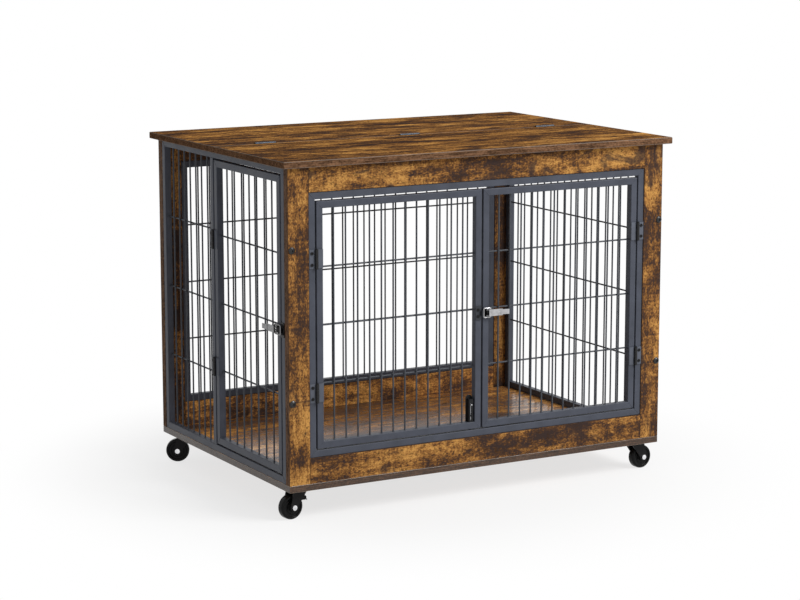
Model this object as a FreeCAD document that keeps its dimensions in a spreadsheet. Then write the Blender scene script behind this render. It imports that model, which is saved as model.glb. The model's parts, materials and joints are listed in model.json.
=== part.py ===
import FreeCAD, Part
import os
import types

import Sketcher

# A pet cage that doubles as a side table. A wooden base, four posts, rails and a two-piece top
# carry welded wire panels in square steel tube. Two front doors, one side door and the front half
# of the top open on hinges, and four swivel casters carry the base.
# The frame: X to the right, Y to the back, Z up, origin on the floor below the middle.

SIZES = {
    # wooden boards
    "top_width": 800,
    "top_depth": 560,
    "top_thick": 12,
    "table_height": 630,
    "seam_ahead": 5,
    "seam_gap": 1.5,
    "body_width": 774,
    "body_depth": 536,
    "base_thick": 12,
    "post_wide": 40,
    "post_thick": 15,
    "rail_top_tall": 44,
    "rail_low_tall": 45,
    "board_round": 0.8,
    "top_round": 1.6,
    # steel tube and wire
    "tube_side": 12.5,
    "tube_wall": 1.2,
    "tube_round": 1.2,
    "front_setback": 1.75,
    "side_setback": 0.5,
    "frame_fit": 0.25,
    "wire_radius": 1.5,
    "weld_depth": 0.4,
    "right_cross_first": 129,
    "right_cross_pitch": 121.5,
    # doors in their frames
    "door_gap_side": 2.5,
    "door_gap_top": 3.4,
    "door_gap_low": 2,
    "door_gap_middle": 3,
    "side_stile_edge": 29,
    "side_gap_hinge": 3.5,
    "side_gap_latch": 3.25,
    "side_gap_end": 3,
    # door hinges
    "hinge_long": 33,
    "hinge_upper": 459,
    "hinge_lower": 225,
    "leaf_wide": 9.8,
    "leaf_thick": 1.5,
    "leaf_clear": 3.4,
    "barrel_radius": 3,
    "axis_out": 3.1,
    "knuckle_gap": 0.3,
    "pin_radius": 1.45,
    "pin_bore": 1.5,
    "pin_head_radius": 2.2,
    "pin_head_tall": 1,
    "screw_spread": 10,
    # lid hinges
    "lid_hinge_long": 40,
    "lid_hinge_apart": 298,
    "lid_axis_up": 0.6,
    "lid_barrel_radius": 2.4,
    "lid_leaf_thick": 1.2,
    "lid_leaf_tall": 10.5,
    "lid_notch_deep": 3,
    "lid_notch_long": 42,
    "lid_pin_radius": 1.2,
    "lid_pin_bore": 1.25,
    # small screws, post bolts and caster screws
    "screw_head": 2.8,
    "screw_head_tall": 1.2,
    "screw_shank": 1.6,
    "screw_long": 8,
    "screw_hole": 1.7,
    "bolt_head": 6,
    "bolt_head_tall": 3,
    "bolt_shank": 3,
    "bolt_hole": 3.1,
    "bolt_long": 24,
    "bolt_socket": 2.4,
    "bolt_socket_deep": 1.8,
    "bolt_lower": 211,
    "bolt_upper": 477,
    # lever latches
    "latch_front_z": 336,
    "latch_side_z": 337,
    "latch_inset": 6.5,
    "latch_base_wide": 12,
    "latch_base_tall": 14,
    "latch_axis_out": 4.75,
    "latch_pin_radius": 1.2,
    "latch_bore": 1.26,
    "ear_radius": 3.2,
    "ear_inner": 2.8,
    "ear_thick": 1.2,
    "lever_half": 6,
    "lever_flange": 1,
    "lever_face": 4.3,
    "lever_flat_end": 26,
    "lever_tip_long": 15,
    "lever_tip_half": 4.5,
    "lever_bead": 2,
    "loop_arm": 7,
    "loop_half": 8.3,
    "loop_corner": 2.5,
    "loop_reach_front": 7.4,
    "loop_reach_side": 14.5,
    "keeper_wide": 12,
    "keeper_tall": 26,
    "keeper_start": 10.2,
    "keeper_lip_out": 7.2,
    "keeper_lip_tall": 11,
    "keeper_round": 4,
    # drop bolt of the left front door
    "drop_bolt_x": 20.6,
    "drop_plate_wide": 13.2,
    "drop_plate_top": 180,
    "drop_rod_radius": 2.5,
    "drop_rod_low": 127,
    "drop_rod_long": 51,
    "drop_knob_z": 170,
    "drop_knob_long": 6.5,
    "drop_knob_radius": 1.1,
    "drop_guide_bore": 2.6,
    "drop_guide_wide": 8,
    "drop_slot_wide": 2.4,
    "drop_slot_low": 142,
    "drop_slot_low_tall": 6,
    "drop_slot_high": 151,
    "drop_slot_high_tall": 21.5,
    "drop_hole": 2.8,
    # casters
    "caster_height": 54,
    "caster_x": 358,
    "caster_y": 235,
    "caster_trail": 13,
    "plate_side": 42,
    "plate_thick": 2,
    "plate_hole_half": 15.5,
    "race_radius": 13,
    "race_tall": 2.2,
    "king_radius": 4,
    "king_bore": 4.05,
    "king_head": 6,
    "king_head_tall": 1.6,
    "fork_top_radius": 14,
    "fork_top_thick": 2.2,
    "fork_play": 0.5,
    "fork_inside": 10,
    "leg_thick": 2,
    "leg_front": 15,
    "leg_foot": 7.5,
    "wheel_radius": 22,
    "wheel_wide": 17,
    "wheel_round": 3.5,
    "wheel_rim_inside": 16.5,
    "wheel_hub": 7.5,
    "wheel_web": 11,
    "wheel_bore": 3.05,
    "axle_radius": 3,
    "axle_head": 4.6,
    "axle_head_tall": 2.2,
    "pedal_x": 9,
    "pedal_z": 37,
    "pedal_eye": 4,
    "pedal_tube": 2.5,
    "pedal_pin": 1.5,
    "pedal_bore": 1.55,
    "pedal_half": 9.6,
    "pedal_long": 9,
    "pedal_thick": 1.6,
    "pedal_shoe_long": 5.3,
    "pedal_shoe_thick": 2.4,
}

# Counts of the gaps between neighbouring wires.
DOOR_GAPS = 13
REAR_GAPS = 28
RIGHT_SIDE_GAPS = 20
LEFT_REAR_GAPS = 8
SIDE_DOOR_GAPS = 8
ROWS = 4

# The direction in which each wheel trails behind its pivot, in degrees from +X towards +Y.
TRAILS = {"front_left": 189, "front_right": 5, "rear_left": 152, "rear_right": 20}
SIDES = {"left": -1, "right": 1}
ENDS = {"front": -1, "rear": 1}
BRAKED = ("front_left",)

X_AXIS = FreeCAD.Vector(1, 0, 0)
Y_AXIS = FreeCAD.Vector(0, 1, 0)
Z_AXIS = FreeCAD.Vector(0, 0, 1)
UPRIGHT = FreeCAD.Rotation()
ALONG_X = FreeCAD.Rotation(Y_AXIS, 90)
ALONG_Y = FreeCAD.Rotation(X_AXIS, -90)
TO_FRONT = FreeCAD.Rotation(X_AXIS, 90)
FLIPPED = FreeCAD.Rotation(Y_AXIS, 180)
TURNED = FreeCAD.Rotation(Z_AXIS, 180)


class Size:
    """A length: its value in millimetres and the sheet formula that gives it."""

    def __init__(self, value, text):
        self.value = value
        self.text = text

    def __add__(self, other):
        other = as_size(other)
        return Size(self.value + other.value, f"({self.text} + {other.text})")

    def __sub__(self, other):
        other = as_size(other)
        return Size(self.value - other.value, f"({self.text} - {other.text})")

    def __mul__(self, factor):
        return Size(self.value * factor, f"({self.text} * {factor:.9g})")

    def __truediv__(self, factor):
        return Size(self.value / factor, f"({self.text} / {factor:.9g})")

    def __neg__(self):
        return Size(-self.value, f"(0 - {self.text})")

    __radd__ = __add__
    __rmul__ = __mul__


def as_size(length):
    """The length itself, or a plain number written as a length."""
    if isinstance(length, Size):
        return length
    return Size(length, f"({length:.9g})")


def make_sheet(doc):
    """The sheet of driving dimensions, handed back as named lengths."""
    sheet = doc.addObject("Spreadsheet::Sheet", "Sizes")
    for row, (alias, value) in enumerate(SIZES.items(), start=1):
        sheet.set(f"A{row}", alias)
        sheet.set(f"B{row}", str(value))
        sheet.setAlias(f"B{row}", alias)
    doc.recompute()
    return types.SimpleNamespace(
        **{alias: Size(value, f"Sizes.{alias}") for alias, value in SIZES.items()})


doc = FreeCAD.newDocument("pet_cage")
size = make_sheet(doc)
nodes = []


def bind(feature, **lengths):
    """Ties properties of a feature to lengths of the sheet."""
    for name, length in lengths.items():
        length = as_size(length)
        setattr(feature, name, length.value)
        feature.setExpression(name, length.text)
    return feature


def place(feature, x=0, y=0, z=0, turn=UPRIGHT):
    """Puts a feature at a point given by lengths, turned by a fixed rotation."""
    spot = [as_size(length) for length in (x, y, z)]
    feature.Placement = FreeCAD.Placement(FreeCAD.Vector(*[each.value for each in spot]), turn)
    for axis, length in zip("xyz", spot):
        feature.setExpression(f"Placement.Base.{axis}", length.text)
    return feature


def box(name, length, width, height, x=0, y=0, z=0, turn=UPRIGHT):
    feature = doc.addObject("Part::Box", name)
    bind(feature, Length=length, Width=width, Height=height)
    return place(feature, x, y, z, turn)


def cylinder(name, radius, height, x=0, y=0, z=0, turn=UPRIGHT):
    feature = doc.addObject("Part::Cylinder", name)
    bind(feature, Radius=radius, Height=height)
    return place(feature, x, y, z, turn)


def fuse(name, *shapes):
    feature = doc.addObject("Part::MultiFuse", name)
    feature.Shapes = list(shapes)
    return feature


def cut(name, base, tool):
    feature = doc.addObject("Part::Cut", name)
    feature.Base = base
    feature.Tool = tool
    return feature


def bundle(name, shapes):
    feature = doc.addObject("Part::Compound", name)
    feature.Links = list(shapes)
    return feature


def copy_of(name, source, x=0, y=0, z=0, turn=UPRIGHT):
    """The same piece again at another place."""
    feature = doc.addObject("App::Link", name)
    feature.LinkedObject = source
    return place(feature, x, y, z, turn)


def node(label, feature):
    """Marks a feature as a finished sub-part under the name of its file."""
    feature.Label = label
    nodes.append(feature)
    return feature


def sketch_on(body, plane_role, points):
    """A closed outline on one of the body's own planes, each corner held by two distances."""
    sketch = body.newObject("Sketcher::SketchObject", body.Name + "_sketch")
    plane = next(item for item in body.Origin.OriginFeatures if item.Role == plane_role)
    sketch.AttachmentSupport = [(plane, "")]
    sketch.MapMode = "FlatFace"
    corners = [(as_size(across), as_size(along)) for across, along in points]
    spots = [FreeCAD.Vector(across.value, along.value, 0) for across, along in corners]
    for start, end in zip(spots, spots[1:] + spots[:1]):
        sketch.addGeometry(Part.LineSegment(start, end), False)
    for index, (across, along) in enumerate(corners):
        following = (index + 1) % len(corners)
        sketch.addConstraint(Sketcher.Constraint("Coincident", index, 2, following, 1))
        for kind, length in (("DistanceX", across), ("DistanceY", along)):
            held = sketch.addConstraint(Sketcher.Constraint(kind, -1, 1, index, 1, length.value))
            sketch.setExpression(f"Constraints[{held}]", length.text)
    return sketch


def rounded_block(name, length, width, height, radius, chosen=None):
    """A padded rectangle from the origin with its edges rounded; chosen picks the edges."""
    body = doc.addObject("PartDesign::Body", name)
    outline = [(0, 0), (length, 0), (length, width), (0, width)]
    pad = body.newObject("PartDesign::Pad", name + "_pad")
    pad.Profile = sketch_on(body, "XY_Plane", outline)
    bind(pad, Length=height)
    doc.recompute()
    edges = [f"Edge{number}" for number, edge in enumerate(pad.Shape.Edges, start=1)
             if chosen is None or chosen(edge)]
    rounding = body.newObject("PartDesign::Fillet", name + "_round")
    rounding.Base = (pad, edges)
    bind(rounding, Radius=radius)
    body.Tip = rounding
    return body


def board(label, length, width, height, x, y, z, cutters=(), radius=size.board_round):
    """A wooden board with softened edges, and the holes or notches cut from it."""
    block = rounded_block(label + "_board", length, width, height, radius)
    place(block, x, y, z)
    if cutters:
        block = cut(label + "_cut", block, bundle(label + "_cutters", cutters))
    return node(label, block)


# Levels and planes that several pieces share.
floor_top = size.caster_height + size.base_thick
under_top = size.table_height - size.top_thick
half_width = size.body_width / 2
half_depth = size.body_depth / 2
post_inside = half_width - size.post_wide
frame_half = post_inside - size.frame_fit
frame_low = floor_top + size.rail_low_tall + size.frame_fit
frame_high = under_top - size.rail_top_tall - size.frame_fit
side_half = half_depth - size.post_thick - size.frame_fit
side_face = half_width - size.side_setback
front_face = half_depth - size.front_setback
bolt_x = side_face - size.tube_side / 2
lid_axis_y = -size.seam_ahead
lid_axis_z = size.table_height + size.lid_axis_up

# Each wall is modelled as seen from outside: x to the right, outward along -y, tube faces at y 0.
WALLS = {
    "front": (0, -front_face, 0),
    "rear": (0, front_face, 180),
    "left": (-side_face, 0, -90),
    "right": (side_face, 0, 90),
}


def on_wall(feature, wall):
    x, y, angle = WALLS[wall]
    return place(feature, x, y, 0, FreeCAD.Rotation(Z_AXIS, angle))


def make_boards():
    """Base, posts, rails and the two halves of the top."""
    board("base_panel", size.body_width, size.body_depth, size.base_thick,
          -half_width, -half_depth, size.caster_height)
    post_tall = under_top - floor_top
    for end, toward in ENDS.items():
        board_y = half_depth * toward - size.post_thick * (toward + 1) / 2
        for side, across in SIDES.items():
            board_x = half_width * across - size.post_wide * (across + 1) / 2
            name = f"{end}_{side}_post"
            holes = [cylinder(f"{name}_hole_{number}", size.bolt_hole, size.post_thick + 2,
                              bolt_x * across, board_y - 1, level, ALONG_Y)
                     for number, level in enumerate((size.bolt_lower, size.bolt_upper))]
            board(name, size.post_wide, size.post_thick, post_tall,
                  board_x, board_y, floor_top, holes)
        rail_long = post_inside * 2
        board(f"{end}_top_rail", rail_long, size.post_thick, size.rail_top_tall,
              -post_inside, board_y, under_top - size.rail_top_tall)
        board(f"{end}_bottom_rail", rail_long, size.post_thick, size.rail_low_tall,
              -post_inside, board_y, floor_top)
    rear_edge = lid_axis_y + size.seam_gap / 2
    lid_edge = lid_axis_y - size.seam_gap / 2
    notches = {}
    for half, start in (("rear", rear_edge), ("lid", lid_edge - size.lid_notch_deep)):
        notches[half] = [
            box(f"{half}_notch_{number}", size.lid_notch_long, size.lid_notch_deep,
                size.top_thick + 2, size.lid_hinge_apart * step - size.lid_notch_long / 2,
                start, under_top - 1)
            for number, step in enumerate((-1, 0, 1))]
    board("rear_top_panel", size.top_width, size.top_depth / 2 - rear_edge, size.top_thick,
          -size.top_width / 2, rear_edge, under_top, notches["rear"], size.top_round)
    board("front_lid", size.top_width, lid_edge + size.top_depth / 2, size.top_thick,
          -size.top_width / 2, -size.top_depth / 2, under_top, notches["lid"], size.top_round)


def runs_along_x(edge):
    start, end = edge.Vertexes[0].Point, edge.Vertexes[-1].Point
    return abs(end.x - start.x) > abs(end.y - start.y) + abs(end.z - start.z)


def square_tube(name, length):
    """Hollow square tube along x with rounded corners; y and z run from 0 to the tube's side."""
    outside = rounded_block(name + "_outside", length, size.tube_side, size.tube_side,
                            size.tube_round, runs_along_x)
    inner = size.tube_side - size.tube_wall * 2
    inside = box(name + "_inside", length + 2, inner, inner, -1, size.tube_wall, size.tube_wall)
    return cut(name + "_tube", outside, inside)


def mitred_tube(name, length):
    """A square tube whose ends are cut at 45 degrees, long side at y 0."""
    tube = square_tube(name, length)
    mitre = doc.addObject("Part::Wedge", name + "_mitre")
    bind(mitre, Xmin=0, Ymin=0, Zmin=0, X2min=size.tube_side, Z2min=0, Xmax=length,
         Ymax=size.tube_side, Zmax=size.tube_side, X2max=length - size.tube_side,
         Z2max=size.tube_side)
    common = doc.addObject("Part::MultiCommon", name)
    common.Shapes = [tube, mitre]
    return common


def ring(name, wide_tube, tall_tube, left, right, low, high, low_tube=None):
    """Four mitred tubes round a rectangle of a wall; low_tube stands in for the lowest one."""
    corners = ((wide_tube, left, low, 0), (tall_tube, left, high, 90),
               (wide_tube, right, high, 180), (tall_tube, right, low, 270))
    bars = []
    for number, (tube, x, z, angle) in enumerate(corners):
        turn = FreeCAD.Rotation(Y_AXIS, angle) * TO_FRONT
        source = low_tube if low_tube and number == 0 else tube
        bars.append(copy_of(f"{name}_bar_{number}", source, x, size.tube_side, z, turn))
    return bars


def grille(label, wall, left, right, low, high, gaps, crosses=None):
    """Upright wires in the middle of the tubes with three cross wires welded behind them, evenly
    spread unless crosses gives their heights over the lower tube."""
    heights = crosses or [(high - low) * (number / ROWS) for number in range(1, ROWS)]
    middle = size.tube_side / 2
    behind = middle + size.wire_radius * 2 - size.weld_depth
    wires = [cylinder(f"{label}_upright_{number}", size.wire_radius, high - low,
                      left + (right - left) * (number / gaps), middle, low)
             for number in range(1, gaps)]
    wires += [cylinder(f"{label}_cross_{number}", size.wire_radius, right - left,
                       left, behind, low + height, ALONG_X)
              for number, height in enumerate(heights, 1)]
    return on_wall(node(label, fuse(label + "_wires", *wires)), wall)


# The clear field of a front door, seen on the front wall.
door_left = -(frame_half - size.tube_side - size.door_gap_side)
door_right = -size.door_gap_middle / 2
door_low = frame_low + size.tube_side + size.door_gap_low
door_high = frame_high - size.tube_side - size.door_gap_top
# The side door, seen on the left wall, whose x runs towards the front.
side_stile = -size.side_stile_edge
side_door_left = side_stile + size.side_gap_hinge
side_door_right = side_half - size.tube_side - size.side_gap_latch
side_door_low = floor_top + size.tube_side + size.side_gap_end
side_door_high = under_top - size.tube_side - size.side_gap_end


def bolt_hole_through(name, tube, from_end):
    """A tube along x drilled across at a distance from its end, from the long side inwards."""
    drill = cylinder(name + "_drill", size.drop_hole, size.tube_side + 2,
                     from_end, -1, size.tube_side / 2, ALONG_Y)
    return cut(name, tube, drill)


def make_walls():
    """Tube frames and wire grilles of the four walls and the three doors."""
    wide = mitred_tube("frame_wide", frame_half * 2)
    tall = mitred_tube("frame_tall", frame_high - frame_low)
    socket = box("frame_socket_clear", size.drop_hole * 2, size.tube_side, size.drop_hole * 2,
                 frame_half - size.drop_bolt_x - size.drop_hole, size.tube_wall * 2,
                 size.tube_side / 2 - size.drop_hole)
    drill = doc.addObject("Part::MultiCommon", "frame_socket")
    drill.Shapes = [
        cylinder("frame_socket_round", size.drop_hole, size.tube_side + 2,
                 frame_half - size.drop_bolt_x, -1, size.tube_side / 2, ALONG_Y), socket]
    drilled = cut("frame_wide_drilled", wide, drill)
    bars = ring("front_frame", wide, tall, -frame_half, frame_half, frame_low, frame_high, drilled)
    on_wall(node("front_frame", bundle("front_frame_bars", bars)), "front")
    bars = ring("rear_frame", wide, tall, -frame_half, frame_half, frame_low, frame_high)
    on_wall(node("rear_frame", bundle("rear_frame_bars", bars)), "rear")
    inner = frame_half - size.tube_side
    grille("rear_grille", "rear", -inner, inner, frame_low + size.tube_side,
           frame_high - size.tube_side, REAR_GAPS)

    wide = mitred_tube("side_wide", side_half * 2)
    tall = mitred_tube("side_tall", under_top - floor_top)
    stile = square_tube("side_stile", under_top - floor_top - size.tube_side * 2)
    bars = ring("left_frame", wide, tall, -side_half, side_half, floor_top, under_top)
    bars.append(copy_of("left_frame_stile", stile, side_stile - size.tube_side, size.tube_side,
                        under_top - size.tube_side, FreeCAD.Rotation(Y_AXIS, 90) * TO_FRONT))
    on_wall(node("left_side_frame", bundle("left_frame_bars", bars)), "left")
    bars = ring("right_frame", wide, tall, -side_half, side_half, floor_top, under_top)
    on_wall(node("right_side_frame", bundle("right_frame_bars", bars)), "right")
    inner = side_half - size.tube_side
    low = floor_top + size.tube_side
    high = under_top - size.tube_side
    grille("left_side_grille", "left", -inner, side_stile - size.tube_side, low, high,
           LEFT_REAR_GAPS)
    crosses = [size.right_cross_first + size.right_cross_pitch * number
               for number in range(ROWS - 1)]
    grille("right_side_grille", "right", -inner, inner, low, high, RIGHT_SIDE_GAPS, crosses)

    door_wide = door_right - door_left
    wide = mitred_tube("door_wide", door_wide)
    tall = mitred_tube("door_tall", door_high - door_low)
    drilled = bolt_hole_through("door_wide_drilled", wide, -size.drop_bolt_x - door_left)
    spans = {"left": (door_left, door_right, drilled), "right": (-door_right, -door_left, None)}
    for side, (left, right, low_tube) in spans.items():
        bars = ring(f"{side}_door", wide, tall, left, right, door_low, door_high, low_tube)
        on_wall(node(f"{side}_door_frame", bundle(f"{side}_door_bars", bars)), "front")
        grille(f"{side}_door_grille", "front", left + size.tube_side, right - size.tube_side,
               door_low + size.tube_side, door_high - size.tube_side, DOOR_GAPS)
    wide = mitred_tube("side_door_wide", side_door_right - side_door_left)
    tall = mitred_tube("side_door_tall", side_door_high - side_door_low)
    bars = ring("side_door", wide, tall, side_door_left, side_door_right,
                side_door_low, side_door_high)
    on_wall(node("side_door_frame", bundle("side_door_bars", bars)), "left")
    grille("side_door_grille", "left", side_door_left + size.tube_side,
           side_door_right - size.tube_side, side_door_low + size.tube_side,
           side_door_high - size.tube_side, SIDE_DOOR_GAPS)


def hinge_leaf(name, toward, spans, holes):
    """A hinge leaf on the tube face beside an upright axis, its knuckles over the given spans."""
    half = size.hinge_long / 2
    plate_x = size.leaf_clear * toward + size.leaf_wide * (toward - 1) / 2
    pieces = [box(name + "_plate", size.leaf_wide, size.leaf_thick, size.hinge_long,
                  plate_x, -size.leaf_thick, -half)]
    for number, (low, high) in enumerate(spans):
        pieces.append(cylinder(f"{name}_knuckle_{number}", size.barrel_radius, high - low,
                               0, -size.axis_out, low))
        pieces.append(box(f"{name}_bridge_{number}", size.leaf_clear + 0.5, size.leaf_thick,
                          high - low, (size.leaf_clear + 0.5) * (toward - 1) / 2,
                          -size.leaf_thick, low))
    bore = cylinder(name + "_bore", size.pin_bore, size.hinge_long + 2,
                    0, -size.axis_out, -half - 1)
    holes = [cylinder(f"{name}_hole_{number}", size.screw_hole, size.leaf_thick + 2,
                      (size.leaf_clear + size.leaf_wide / 2) * toward, -size.leaf_thick - 1,
                      height, ALONG_Y)
             for number, height in enumerate(holes)]
    return cut(name, fuse(name + "_solid", *pieces), bundle(name + "_bores", [bore] + holes))


def pin_with_heads(name, radius, length):
    """A hinge pin along z, its heads resting on the outer ends of the knuckles."""
    half = length / 2
    head = size.pin_head_tall
    return fuse(name, cylinder(name + "_shaft", radius, length + head * 2, 0, 0, -half - head),
                cylinder(name + "_top", size.pin_head_radius, head, 0, 0, half),
                cylinder(name + "_low", size.pin_head_radius, head, 0, 0, -half - head))


def pan_screw(name):
    """A cross-slot screw whose head sits on the plane y 0 and whose shank runs along +y."""
    solid = fuse(name + "_solid",
                 cylinder(name + "_head", size.screw_head, size.screw_head_tall,
                          0, -size.screw_head_tall, 0, ALONG_Y),
                 cylinder(name + "_shank", size.screw_shank, size.screw_long, 0, 0, 0, ALONG_Y))
    slot = size.screw_head * 0.24
    long_slot = size.screw_head * 1.2
    deep = size.screw_head_tall * 0.6
    face = -size.screw_head_tall - 0.1
    slots = [box(name + "_slot_0", long_slot, deep, slot, -long_slot / 2, face, -slot / 2),
             box(name + "_slot_1", slot, deep, long_slot, -slot / 2, face, -long_slot / 2)]
    return cut(name, solid, bundle(name + "_slots", slots))


# The upright axis of each door as (wall, x on the wall, which way the door lies).
AXES = {
    "left_door": ("front", door_left - size.door_gap_side / 2, 1),
    "right_door": ("front", -(door_left - size.door_gap_side / 2), -1),
    "side_door": ("left", side_door_left - size.side_gap_hinge / 2, 1),
}


def wall_point(wall, x, y):
    """Where a point of a wall lies in the frame, as lengths."""
    wall_x, wall_y, angle = WALLS[wall]
    turned = {0: (x, y), 180: (-x, -y), -90: (y, -x), 90: (-y, x)}[angle]
    return turned[0] + wall_x, turned[1] + wall_y


def make_hinges(screw):
    """Leaves, pins and screws of the six door hinges and the three lid hinges."""
    half = size.hinge_long / 2
    inner = size.hinge_long / 6 + size.knuckle_gap / 2
    frame_leaf = hinge_leaf("frame_leaf", -1, ((-half, -inner), (inner, half)),
                            (size.screw_spread, -size.screw_spread))
    reach = inner - size.knuckle_gap
    door_leaf = hinge_leaf("door_leaf", 1, ((-reach, reach),), ())
    pin = pin_with_heads("door_pin", size.pin_radius, size.hinge_long)
    fixed, pins, screws = [], [], []
    for door, (wall, x, toward) in AXES.items():
        wall_turn = FreeCAD.Rotation(Z_AXIS, WALLS[wall][2])
        turn = wall_turn if toward > 0 else wall_turn * FLIPPED
        leaf_x, leaf_y = wall_point(wall, x, as_size(0))
        axis_x, axis_y = wall_point(wall, x, -size.axis_out)
        screw_x, screw_y = wall_point(
            wall, x - (size.leaf_clear + size.leaf_wide / 2) * toward, -size.leaf_thick)
        moving = []
        for level, height in (("upper", size.hinge_upper), ("lower", size.hinge_lower)):
            name = f"{door}_{level}"
            fixed.append(copy_of(name + "_fixed", frame_leaf, leaf_x, leaf_y, height, turn))
            moving.append(copy_of(name + "_moving", door_leaf, leaf_x, leaf_y, height, turn))
            pins.append(copy_of(name + "_pin", pin, axis_x, axis_y, height))
            for number, rise in enumerate((size.screw_spread, -size.screw_spread)):
                screws.append(copy_of(f"{name}_screw_{number}", screw, screw_x, screw_y,
                                      height + rise, wall_turn))
        node(f"{door}_hinge_leaves", bundle(f"{door}_leaves", moving))
    node("hinge_frame_leaves", bundle("frame_leaves", fixed))
    return pins, screws


def lid_leaf(name, spans):
    """A lid-hinge leaf in the rear notch, knuckles along x round the axis at the origin."""
    wall = size.seam_gap / 2 + size.lid_notch_deep
    start = wall - size.lid_leaf_thick
    half = size.lid_hinge_long / 2
    pieces = [box(name + "_plate", size.lid_hinge_long, size.lid_leaf_thick, size.lid_leaf_tall,
                  -half, start, -size.lid_leaf_tall)]
    for number, (low, high) in enumerate(spans):
        pieces.append(cylinder(f"{name}_knuckle_{number}", size.lid_barrel_radius, high - low,
                               low, 0, 0, ALONG_X))
        pieces.append(box(f"{name}_bridge_{number}", high - low, wall, size.lid_leaf_thick,
                          low, 0, -size.lid_leaf_thick))
    bore = cylinder(name + "_bore", size.lid_pin_bore, size.lid_hinge_long + 2,
                    -half - 1, 0, 0, ALONG_X)
    return cut(name, fuse(name + "_solid", *pieces), bore)


def make_lid_hinges(pins):
    half = size.lid_hinge_long / 2
    inner = size.lid_hinge_long / 6 + size.knuckle_gap / 2
    reach = inner - size.knuckle_gap
    rear_leaf = lid_leaf("rear_leaf", ((-half, -inner), (inner, half)))
    front_leaf = lid_leaf("front_leaf", ((-reach, reach),))
    pin = pin_with_heads("lid_pin", size.lid_pin_radius, size.lid_hinge_long)
    fixed, moving = [], []
    for number, step in enumerate((-1, 0, 1)):
        spot = (size.lid_hinge_apart * step, lid_axis_y, lid_axis_z)
        fixed.append(copy_of(f"rear_leaf_{number}", rear_leaf, *spot))
        moving.append(copy_of(f"front_leaf_{number}", front_leaf, *spot, TURNED))
        pins.append(copy_of(f"lid_pin_{number}", pin, *spot, ALONG_X))
    node("lid_hinge_rear_leaves", bundle("rear_leaves", fixed))
    node("lid_hinge_front_leaves", bundle("front_leaves", moving))
    node("hinge_pins", bundle("all_pins", pins))


def latch_base():
    """Base plate of a lever latch: two ears and the pin on which the lever turns."""
    axis_y = -size.latch_axis_out
    wide, tall = size.latch_base_wide, size.latch_base_tall
    pieces = [box("latch_plate", wide, size.leaf_thick, tall, -wide / 2, -size.leaf_thick,
                  -tall / 2)]
    for number, low in enumerate((size.ear_inner, -size.ear_inner - size.ear_thick)):
        pieces.append(cylinder(f"latch_ear_{number}", size.ear_radius, size.ear_thick,
                               0, axis_y, low))
        pieces.append(box(f"latch_stem_{number}", size.ear_radius * 2, size.latch_axis_out,
                          size.ear_thick, -size.ear_radius, axis_y, low))
    pin_half = size.lever_half + 0.6
    pieces.append(cylinder("latch_pin", size.latch_pin_radius, pin_half * 2,
                           0, axis_y, -pin_half))
    return fuse("latch_base", *pieces)


def latch_lever():
    """The handle: a bent strip with two flanges that turn on the pin and hold the loop."""
    axis_y = -size.latch_axis_out
    face_y = axis_y - size.lever_face
    strip = size.lever_flange
    half = size.lever_half
    end = size.lever_flat_end
    pieces = [box("lever_strip", end - 1, strip, half * 2, 1, face_y - strip, -half)]
    for number, low in enumerate((half - strip, -half)):
        pieces.append(box(f"lever_flange_{number}", size.loop_arm + 5, size.lever_face, strip,
                          0, face_y, low))
        pieces.append(box(f"lever_link_{number}", size.loop_arm, 2.4, strip, 0, axis_y, low))
        pieces.append(cylinder(f"lever_boss_{number}", 2.6, strip, 0, axis_y, low))
        pieces.append(cylinder(f"lever_eye_{number}", 2.4, strip, size.loop_arm, axis_y, low))
    pieces.append(cylinder("lever_bead", size.lever_bead, half * 2, end + 1,
                           face_y - strip / 2, -half))
    pieces.append(box("lever_tip", size.lever_tip_long, strip, size.lever_tip_half * 2, end + 1,
                      face_y - strip, -size.lever_tip_half, FreeCAD.Rotation(Z_AXIS, -7)))
    holes = [cylinder(f"lever_hole_{number}", size.latch_bore, half * 2 + 2, x, axis_y, -half - 1)
             for number, x in enumerate((as_size(0), size.loop_arm))]
    return cut("latch_lever", fuse("lever_solid", *pieces), bundle("lever_holes", holes))


def latch_loop(name, reach):
    """A closed wire loop with round corners, one bar through the eyes of the lever."""
    y = -size.latch_axis_out
    radius = size.latch_pin_radius
    corner = size.loop_corner
    half = size.loop_half
    left, right = -reach, size.loop_arm
    pieces = []
    for number, x in enumerate((left, right)):
        pieces.append(cylinder(f"{name}_bar_{number}", radius, (half - corner) * 2,
                               x, y, corner - half))
    for number, z in enumerate((half, -half)):
        pieces.append(cylinder(f"{name}_rail_{number}", radius, right - left - corner * 2,
                               left + corner, y, z, ALONG_X))
    turns = ((right - corner, half - corner, 0), (left + corner, half - corner, 90),
             (left + corner, corner - half, 180), (right - corner, corner - half, 270))
    for number, (x, z, angle) in enumerate(turns):
        bend = doc.addObject("Part::Torus", f"{name}_bend_{number}")
        bind(bend, Radius1=corner, Radius2=radius)
        bend.Angle3 = 90
        turn = FreeCAD.Rotation(Y_AXIS, -angle) * TO_FRONT
        pieces.append(place(bend, x, y, z, turn))
    return fuse(name, *pieces)


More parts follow.
